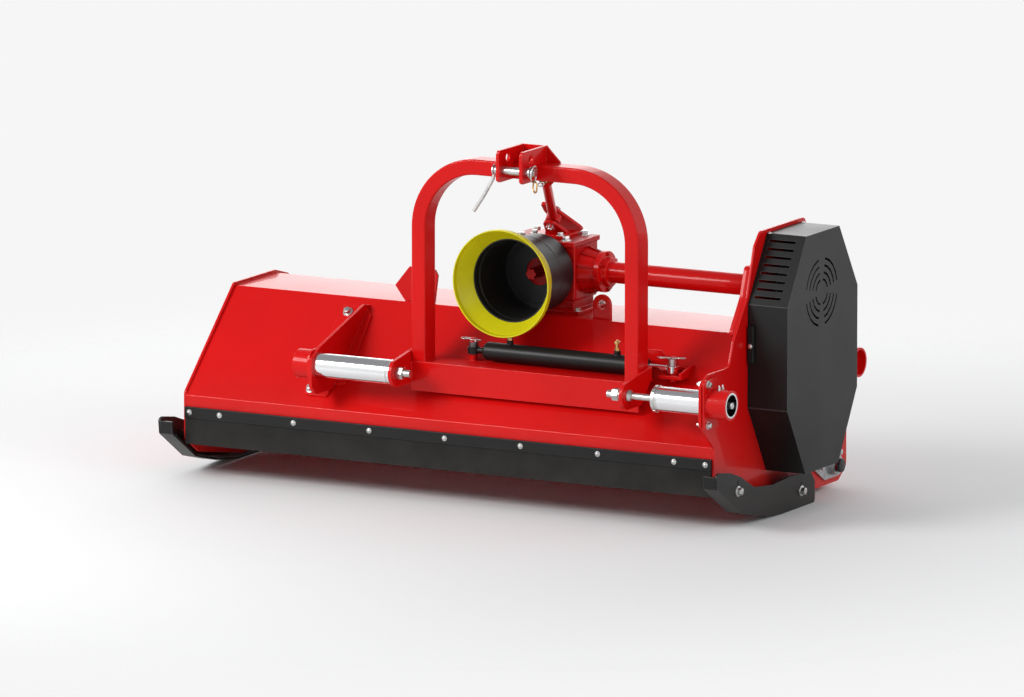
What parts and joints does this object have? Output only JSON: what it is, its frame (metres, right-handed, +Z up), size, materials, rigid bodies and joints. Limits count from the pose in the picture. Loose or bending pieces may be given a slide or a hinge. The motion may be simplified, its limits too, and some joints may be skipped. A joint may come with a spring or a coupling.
{
  "type": "flail mulcher",
  "caption": "Side-shift flail mulcher for a three-point linkage: red hood on skids, sliding arch hitch, gearbox with shielded input, belt drive and rear roller.",
  "frame": {"origin": "on the ground under the middle of the whole machine's box", "axes": "+X along the working width towards the belt drive, -Y towards the tractor, +Z up"},
  "size_m": [2.09, 0.997, 1.15],
  "materials": {
    "red_paint": "glossy red enamel",
    "black_paint": "satin dark grey paint",
    "black_rubber": "matte black rubber",
    "black_plastic": "matte black moulded plastic",
    "yellow_plastic": "yellow moulded plastic",
    "chrome": "polished chrome",
    "zinc_plate": "bright zinc plate",
    "dark_steel": "bare dark steel"
  },
  "bodies": {
    "machine": {"hood": "red_paint", "end_plate_left": "red_paint", "end_plate_right": "red_paint", "front_flap": "black_rubber", "flap_strip": "black_paint", "skid_left": "black_paint", "skid_right": "black_paint", "rotor_bearing_left": "dark_steel", "rotor_bearing_right": "dark_steel", "cross_tube": "red_paint", "drive_bearing": "dark_steel", "drive_belt": "black_rubber", "belt_guard": "black_paint", "guard_latch": "black_rubber", "gearbox": "red_paint", "shield_bell": "black_plastic", "shield_rim": "yellow_plastic", "bush_left": "red_paint", "bush_right": "red_paint", "bush_rear": "red_paint", "guide_support_left": "red_paint", "guide_tube_right": "chrome", "cylinder_rod": "chrome", "rod_bracket": "red_paint", "stay_bracket": "red_paint", "roller_arm_left": "zinc_plate", "roller_arm_right": "zinc_plate", "door_rod": "zinc_plate", "lifting_eye": "red_paint", "shaft_rest": "red_paint"},
    "carriage": {"carriage_beam": "red_paint", "hitch_arch": "red_paint", "hitch_ear_left": "red_paint", "hitch_ear_right": "red_paint", "mast_bracket": "red_paint", "guide_tube_left": "chrome", "stud_left": "zinc_plate", "guide_rod_right": "zinc_plate", "cylinder_barrel": "black_paint", "top_pin": "zinc_plate"},
    "stay_arm": {"stay": "red_paint"},
    "rotor_shaft": {"rotor": "red_paint", "rotor_pulley": "dark_steel"},
    "cross_drive": {"cross_shaft": "dark_steel", "drive_pulley": "dark_steel"},
    "input": {"pto_shaft": "red_paint"},
    "roller": {"rear_roller": "red_paint"},
    "door": {"rear_door": "red_paint"},
    "hammer_01": {"flail_01": "dark_steel"},
    "hammer_02": {"flail_02": "dark_steel"},
    "hammer_03": {"flail_03": "dark_steel"},
    "hammer_04": {"flail_04": "dark_steel"},
    "hammer_05": {"flail_05": "dark_steel"},
    "hammer_06": {"flail_06": "dark_steel"},
    "hammer_07": {"flail_07": "dark_steel"},
    "hammer_08": {"flail_08": "dark_steel"},
    "hammer_09": {"flail_09": "dark_steel"},
    "hammer_10": {"flail_10": "dark_steel"},
    "hammer_11": {"flail_11": "dark_steel"},
    "hammer_12": {"flail_12": "dark_steel"}
  },
  "joints": [
    {"name": "carriage_shift", "type": "slide", "parent": "machine", "child": "carriage", "axis": [1, 0, 0], "range_m": [-0.24, 0.05]},
    {"name": "stay_swing", "type": "hinge", "parent": "machine", "child": "stay_arm", "pos_m": [0.095, 0.0435, 0.856], "axis": [0, 0.5777, 0.8163], "range_deg": [-40.6, 8.6]},
    {"name": "rotor_spin", "type": "hinge", "parent": "machine", "child": "rotor_shaft", "pos_m": [-0.045, 0.0485, 0.3], "axis": [1, 0, 0], "continuous": true},
    {"name": "cross_spin", "type": "hinge", "parent": "machine", "child": "cross_drive", "pos_m": [0.6, 0.0485, 0.7], "axis": [1, 0, 0], "continuous": true},
    {"name": "input_spin", "type": "hinge", "parent": "machine", "child": "input", "pos_m": [0.095, -0.05, 0.7], "axis": [0, 1, 0], "continuous": true},
    {"name": "roller_spin", "type": "hinge", "parent": "machine", "child": "roller", "pos_m": [-0.045, 0.3935, 0.08], "axis": [1, 0, 0], "continuous": true},
    {"name": "door_swing", "type": "hinge", "parent": "machine", "child": "door", "pos_m": [-0.045, 0.3515, 0.462], "axis": [1, 0, 0], "range_deg": [0, 75]},
    {"name": "hammer_swing_01", "type": "hinge", "parent": "rotor_shaft", "child": "hammer_01", "pos_m": [-0.76, 0.1725, 0.3], "axis": [1, 0, 0], "range_deg": [-75, 75]},
    {"name": "hammer_swing_02", "type": "hinge", "parent": "rotor_shaft", "child": "hammer_02", "pos_m": [-0.24, 0.15589, 0.362], "axis": [1, 0, 0], "range_deg": [-75, 75]},
    {"name": "hammer_swing_03", "type": "hinge", "parent": "rotor_shaft", "child": "hammer_03", "pos_m": [0.28, 0.1105, 0.40739], "axis": [1, 0, 0], "range_deg": [-75, 75]},
    {"name": "hammer_swing_04", "type": "hinge", "parent": "rotor_shaft", "child": "hammer_04", "pos_m": [-0.63, 0.0485, 0.424], "axis": [1, 0, 0], "range_deg": [-75, 75]},
    {"name": "hammer_swing_05", "type": "hinge", "parent": "rotor_shaft", "child": "hammer_05", "pos_m": [-0.11, -0.0135, 0.40739], "axis": [1, 0, 0], "range_deg": [-75, 75]},
    {"name": "hammer_swing_06", "type": "hinge", "parent": "rotor_shaft", "child": "hammer_06", "pos_m": [0.41, -0.05889, 0.362], "axis": [1, 0, 0], "range_deg": [-75, 75]},
    {"name": "hammer_swing_07", "type": "hinge", "parent": "rotor_shaft", "child": "hammer_07", "pos_m": [-0.5, -0.0755, 0.3], "axis": [1, 0, 0], "range_deg": [-75, 75]},
    {"name": "hammer_swing_08", "type": "hinge", "parent": "rotor_shaft", "child": "hammer_08", "pos_m": [0.02, -0.05889, 0.238], "axis": [1, 0, 0], "range_deg": [-75, 75]},
    {"name": "hammer_swing_09", "type": "hinge", "parent": "rotor_shaft", "child": "hammer_09", "pos_m": [0.54, -0.0135, 0.19261], "axis": [1, 0, 0], "range_deg": [-75, 75]},
    {"name": "hammer_swing_10", "type": "hinge", "parent": "rotor_shaft", "child": "hammer_10", "pos_m": [-0.37, 0.0485, 0.176], "axis": [1, 0, 0], "range_deg": [-75, 75]},
    {"name": "hammer_swing_11", "type": "hinge", "parent": "rotor_shaft", "child": "hammer_11", "pos_m": [0.15, 0.1105, 0.19261], "axis": [1, 0, 0], "range_deg": [-75, 75]},
    {"name": "hammer_swing_12", "type": "hinge", "parent": "rotor_shaft", "child": "hammer_12", "pos_m": [0.67, 0.15589, 0.238], "axis": [1, 0, 0], "range_deg": [-75, 75]}
  ],
  "couplings": [
    {"joint": "stay_swing", "follows": "carriage_shift", "rad_per_m": 2.94},
    {"joint": "cross_spin", "follows": "rotor_spin", "ratio": 0.66667},
    {"joint": "input_spin", "follows": "rotor_spin", "ratio": 0.22222}
  ]
}
